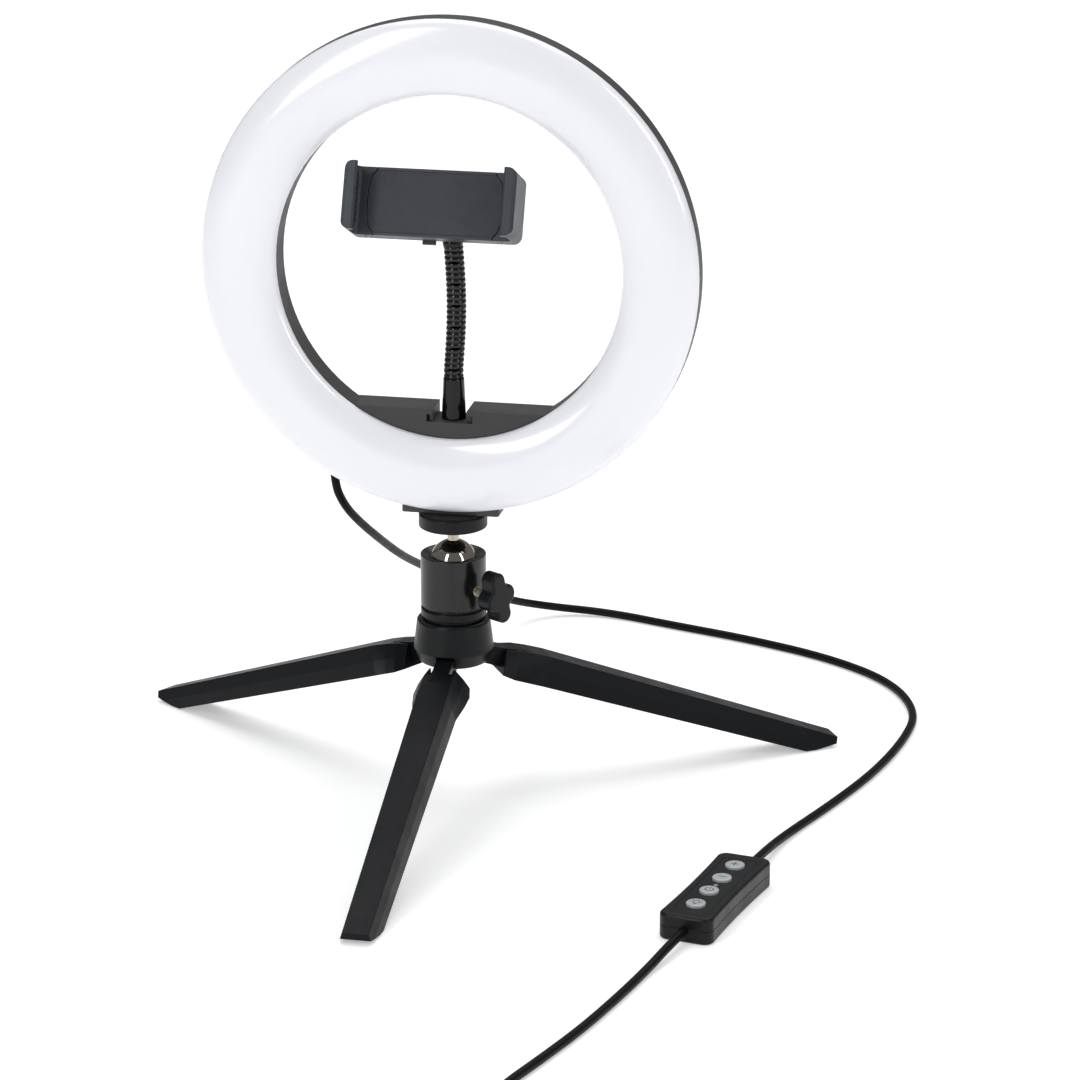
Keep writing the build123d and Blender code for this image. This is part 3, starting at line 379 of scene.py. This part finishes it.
def coil_points(steps_per_turn=16):
    """Two flat layers of turns, wound inward below and outward above, clockwise from above."""
    outer, pitch, layer_turns, climb_turns = 24.5, 3.65, 2.9, 0.45
    low, high = 2.4, 6.0
    total = 2 * layer_turns + climb_turns
    points = []
    for step in range(round(total * steps_per_turn) + 1):
        turned = step / steps_per_turn
        inward = min(turned, layer_turns)
        outward = max(turned - layer_turns - climb_turns, 0)
        climbed = min(max((turned - layer_turns) / climb_turns, 0), 1)
        radius = outer - pitch * (inward - outward)
        angle = -2 * pi * turned
        points.append(coil_center + Vector((
            radius * cos(angle), radius * sin(angle), low + (high - low) * climbed)) * MM)
    return points


def nurbs(name, points, radius=0.0):
    """One smooth open curve with the points as its control points, round if it has a radius."""
    data = bpy.data.curves.new(name, "CURVE")
    data.dimensions = "3D"
    data.resolution_u = 12
    spline = data.splines.new("NURBS")
    spline.points.add(len(points) - 1)
    for target, point in zip(spline.points, points):
        target.co = (*point, 1)
    spline.order_u = 3
    spline.use_endpoint_u = True
    data.bevel_depth = radius
    data.bevel_resolution = 6
    data.use_fill_caps = True
    obj = bpy.data.objects.new(name, data)
    bpy.context.scene.collection.objects.link(obj)
    return obj


def line_of(points):
    """Points along the smooth curve that a route makes."""
    guide = nurbs("guide", points)
    mesh = bpy.data.meshes.new_from_object(guide)
    line = [v.co.copy() for v in mesh.vertices]
    bpy.data.objects.remove(guide)
    bpy.data.meshes.remove(mesh)
    return line


def length_of(line):
    return sum((b - a).length for a, b in zip(line, line[1:]))


def make_head_lead():
    """The lead from the light to the remote, in four stretches; the stretch on the floor goes with
    the stand.
    """
    line = line_of(head_route)
    rings = round_rings(line, cord_radius)
    names = ["head_lead_upper", "head_lead_middle", "head_lead_lower", "head_lead_floor"]
    ends = [0]
    for distance in stretch_ends:
        ends.append(next(i for i in range(len(line)) if length_of(line[:i + 1]) > distance))
    ends.append(len(line) - 1)
    for number, name in enumerate(names):
        first, last = ends[number], ends[number + 1]
        piece = skin(name, rings[first:last + 1], "cord")
        if number < 3:
            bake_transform(piece)
        else:
            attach(piece, "stand")
            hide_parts("cord_head_lead")


def make_usb_lead():
    """The lead from the remote to the plug, with its unseen length coiled outside the view."""
    route = usb_route + coil_points() + tail_route
    piece = nurbs("usb_lead", route, cord_radius)
    paint(piece, "cord")
    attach(piece, "stand")
    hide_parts("cord_usb_lead", "cord_coil", "cord_tail")
    length_of(line_of(route))


# ---------------------------------------------------------------- gooseneck
# millimetres; the ribs stand a whole number of pitches apart from joint to joint
joint_height, joint_pitch, joint_count = 178.6, 8.8, 6
hose_foot, hose_top, hose_y, hose_bow, collar_x = 175.3, 229.0, 1.5, 1.3, 0.2
rib_pitch, rib_crest, rib_valley, rib_squareness, rib_step = 2.2, 4.0, 3.25, 0.42, 0.18
end_recess, end_tip = 0.44, 0.02


def hose_point(height):
    """Centre of the hose at a height, on its slightly bowed line."""
    share = (height - joint_height) / (joint_pitch * joint_count)
    bow = hose_bow * sin(pi * min(max(share, 0), 1))
    return Vector((0.3 - 0.1 * share + bow, hose_y, height)) * MM


def make_hose():
    """The ribbed hose, one stretch on each link, with coned ends that leave room to bend."""
    joints = [joint_height + joint_pitch * number for number in range(joint_count)]
    ends = [hose_foot, *joints, hose_top]
    for number in range(joint_count + 1):
        low, high = ends[number], ends[number + 1]
        above, below = number > 0, number < joint_count
        first = low + end_recess if above else low
        last = high - end_recess if below else high
        steps = round((last - first) / rib_step)
        profile = [(end_tip, low + end_tip), (rib_valley, first)] if above else []
        for step in range(steps + 1):
            height = first + (last - first) * step / steps
            bulge = abs(sin(pi * (height - joint_height) / rib_pitch)) ** rib_squareness
            profile.append((rib_valley + (rib_crest - rib_valley) * bulge, height))
        if below:
            profile += [(rib_valley, last), (end_tip, high - end_tip)]
        rings = [level_ring(hose_point(height), radius * MM, 40) for radius, height in profile]
        piece = skin(f"hose_{number}", rings, "hose", first_cap=above, last_cap=below)
        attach(piece, f"neck_{number}" if number else "head")
        if number:
            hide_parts(f"gooseneck_link_{number}")


def make_hose_collar():
    """The turned collar on top of the hose."""
    profile = [
        (3.2, 228.4), (3.85, 228.5), (4.0, 229.0), (4.1, 230.2), (3.9, 231.2), (3.3, 232.2),
        (2.9, 232.5), (1.8, 232.5), (1.7, 231.0),
    ]
    rings = [
        level_ring(Vector((collar_x, hose_y, height)) * MM, radius * MM, 48)
        for radius, height in profile
    ]
    collar = skin("hose_collar", rings, "gloss")
    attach(collar, "neck_6")


# ---------------------------------------------------------------- signs on the buttons
def flat_stroke(points, width):
    """Outline of a flat stroke along points in the plane, in millimetres."""
    left, right = [], []
    for i, point in enumerate(points):
        heading = (points[min(i + 1, len(points) - 1)] - points[max(i - 1, 0)]).normalized()
        across = Vector((-heading.y, heading.x)) * width / 2
        left.append(point + across)
        right.append(point - across)
    return left + right[::-1]


def arc(radius, start, end, steps=14):
    return [Vector((
        radius * cos(radians(start + (end - start) * i / steps)),
        radius * sin(radians(start + (end - start) * i / steps)))) for i in range(steps + 1)]


sign_height, sign_thickness = 11.81, 0.02
button_places = {"plus": 20.8, "minus": 6.8, "power": -7.0, "mode": -21.0}


def make_sign(button, strokes):
    """Thin printed strokes on top of a button."""
    along = button_places[button]
    vertices, faces = [], []
    for points, width in strokes:
        outline = flat_stroke([Vector(p) for p in points], width)
        half = len(outline) // 2
        base = len(vertices)
        for height in (sign_height, sign_height + sign_thickness):
            for point in outline:
                vertices.append(on_remote(point.x * MM, (along + point.y) * MM, height * MM))
        size = len(outline)
        for i in range(half - 1):
            faces.append((base + size + i, base + size + size - 1 - i,
                          base + size + size - 2 - i, base + size + i + 1))
        for i in range(size):
            n = (i + 1) % size
            faces.append((base + i, base + n, base + size + n, base + size + i))
    sign = mesh_object(f"sign_{button}", vertices, faces, "ink", smooth=False)
    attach(sign, f"button_{button}_body")


def make_signs():
    make_sign("plus", [([(-1.5, 0), (1.5, 0)], 0.42), ([(0, -1.5), (0, 1.5)], 0.42)])
    make_sign("minus", [([(-1.5, 0), (1.5, 0)], 0.42)])
    make_sign("power", [(arc(1.6, 125, 415), 0.38), ([(0, 0.4), (0, 2.1)], 0.38)])
    middle = 0.4
    bulb = [p + Vector((0, middle)) for p in arc(1.3, -50, 230)]
    base = [([(-0.8, -1.0), (0.8, -1.0)], 0.34), ([(-0.6, -1.6), (0.6, -1.6)], 0.34)]
    rays = []
    for angle in range(0, 181, 45):
        x, y = cos(radians(angle)), sin(radians(angle))
        rays.append(([(r * x, middle + r * y) for r in (2.0, 2.6)], 0.3))
    make_sign("mode", [(bulb, 0.34), *base, *rays])


# ---------------------------------------------------------------- stage
def make_stage():
    half = 4.0
    vertices = [(-half, -half, 0), (half, -half, 0), (half, half, 0), (-half, half, 0)]
    material, tree, shader, add = node_tree("floor_white")
    place = add("TexCoord").outputs["Object"]
    cloud = add("TexNoise", {"Vector": place, "Scale": 3.0})
    tint = add("Mix", {"Factor": cloud.outputs["Fac"]}, data_type="RGBA")
    tint.inputs["A"].default_value = (0.86, 0.86, 0.865, 1)
    tint.inputs["B"].default_value = (0.89, 0.89, 0.895, 1)
    tree.links.new(tint.outputs["Result"], shader.inputs["Base Color"])
    shader.inputs["Roughness"].default_value = 0.9
    shader.inputs["Emission Color"].default_value = (1, 1, 1, 1)
    shader.inputs["Emission Strength"].default_value = 0.38
    finishes["floor"] = material
    floor = mesh_object("floor", vertices, [(0, 1, 2, 3)], "floor")


def soft_box(name, place, size, power, aim=(0, 0, 0.12)):
    """A rectangular lamp with its power in watts, turned towards a point."""
    data = bpy.data.lights.new(name, "AREA")
    data.shape = "RECTANGLE"
    data.size, data.size_y = size
    data.energy = power
    lamp = bpy.data.objects.new(name, data)
    lamp.location = place
    lamp.rotation_euler = (Vector(aim) - Vector(place)).to_track_quat("-Z", "Y").to_euler()
    bpy.context.scene.collection.objects.link(lamp)


def make_light():
    bpy.context.scene.view_settings.view_transform = "Standard"
    world = bpy.data.worlds.new("studio")
    world.use_nodes = True
    background = world.node_tree.nodes["Background"]
    background.inputs["Color"].default_value = (0.95, 0.97, 1.0, 1)
    background.inputs["Strength"].default_value = 0.24
    bpy.context.scene.world = world
    soft_box("key", (-0.65, -1.35, 0.85), (0.32, 1.3), 9)
    soft_box("fill", (1.3, -0.7, 0.9), (0.25, 1.2), 6)
    soft_box("top", (0.0, 0.2, 1.9), (1.6, 1.2), 13)
    soft_box("back", (0.0, 1.3, 1.6), (2.4, 1.4), 16, aim=(0, 1.3, 0))


make_camera()
make_head_lead()
make_usb_lead()
make_hose()
make_hose_collar()
make_signs()
paint_nodes()
make_stage()
make_light()
